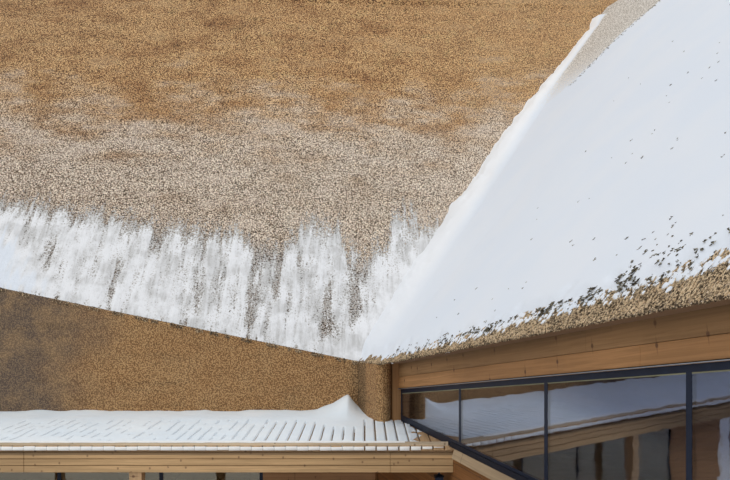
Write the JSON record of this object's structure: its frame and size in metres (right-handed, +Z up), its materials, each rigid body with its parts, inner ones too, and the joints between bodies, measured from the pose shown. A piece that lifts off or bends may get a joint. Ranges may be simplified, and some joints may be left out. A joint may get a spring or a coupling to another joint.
{
  "type": "thatched farmhouse",
  "caption": "Thatched house with two wings meeting at an open angle, steep roofs over raked eaves, a ribbon window and a slatted timber canopy in the inner corner.",
  "frame": {"origin": "on the ground, in the foot of the plinth at the inner corner of the courtyard, where the walls of the two wings meet", "axes": "+Z up; -X along the left wing's courtyard wall, away from the corner; +Y into the left wing, away from the courtyard; the right wing runs off at 17.9 degrees from -Y towards +X"},
  "size_m": [26.0633, 19.2553, 11.51],
  "materials": {
    "thatch": "rough reed thatch",
    "ridge": "rough reed thatch, darker",
    "timber": "weathered pine boards",
    "board": "sawn pine, knotty",
    "ledge": "pale weathered pine",
    "frame": "dark anthracite, satin",
    "glass": "clear, reflecting",
    "metal": "mill finish",
    "black": "black, satin",
    "floor": "plain boards",
    "stone": "rough cast plinth",
    "snow": "settled snow, matte",
    "straw": "loose reed ends"
  },
  "bodies": {
    "root": {"roof_left_court": "thatch", "roof_left_back": "thatch", "roof_right_court": "thatch", "roof_right_outer": "thatch", "thatch_wall_left": "thatch", "thatch_wall_return": "thatch", "thatch_wall_back": "thatch", "thatch_wall_outer": "thatch", "ridge_left": "ridge", "ridge_right": "ridge", "wall_left_court": "timber", "wall_right_court": "timber", "wall_right_base": "timber", "wall_back": "timber", "wall_outer": "timber", "wall_left_gable": "timber", "wall_right_gable": "timber", "canopy_frame": "timber", "canopy_post_1": "timber", "canopy_post_2": "timber", "canopy_post_3": "timber", "trim_post": "board", "head_board_lower": "board", "head_board_upper": "board", "canopy_deck": "board", "canopy_batten": "board", "fascia_upper": "board", "fascia_middle": "board", "fascia_lower": "board", "sill_board": "ledge", "head_edge": "metal", "sill_metal": "black", "lantern": "black", "floor_ground": "floor", "floor_upper": "floor", "plinth": "stone", "window_court_frame": "frame", "window_court_glass": "glass", "window_under_canopy_frame": "frame", "window_under_canopy_glass": "glass", "window_back_frame": "frame", "window_back_glass": "glass", "window_outer_frame": "frame", "window_outer_glass": "glass", "window_left_gable_frame": "frame", "window_left_gable_glass": "glass", "window_right_gable_frame": "frame", "window_right_gable_glass": "glass"}
  },
  "joints": []
}
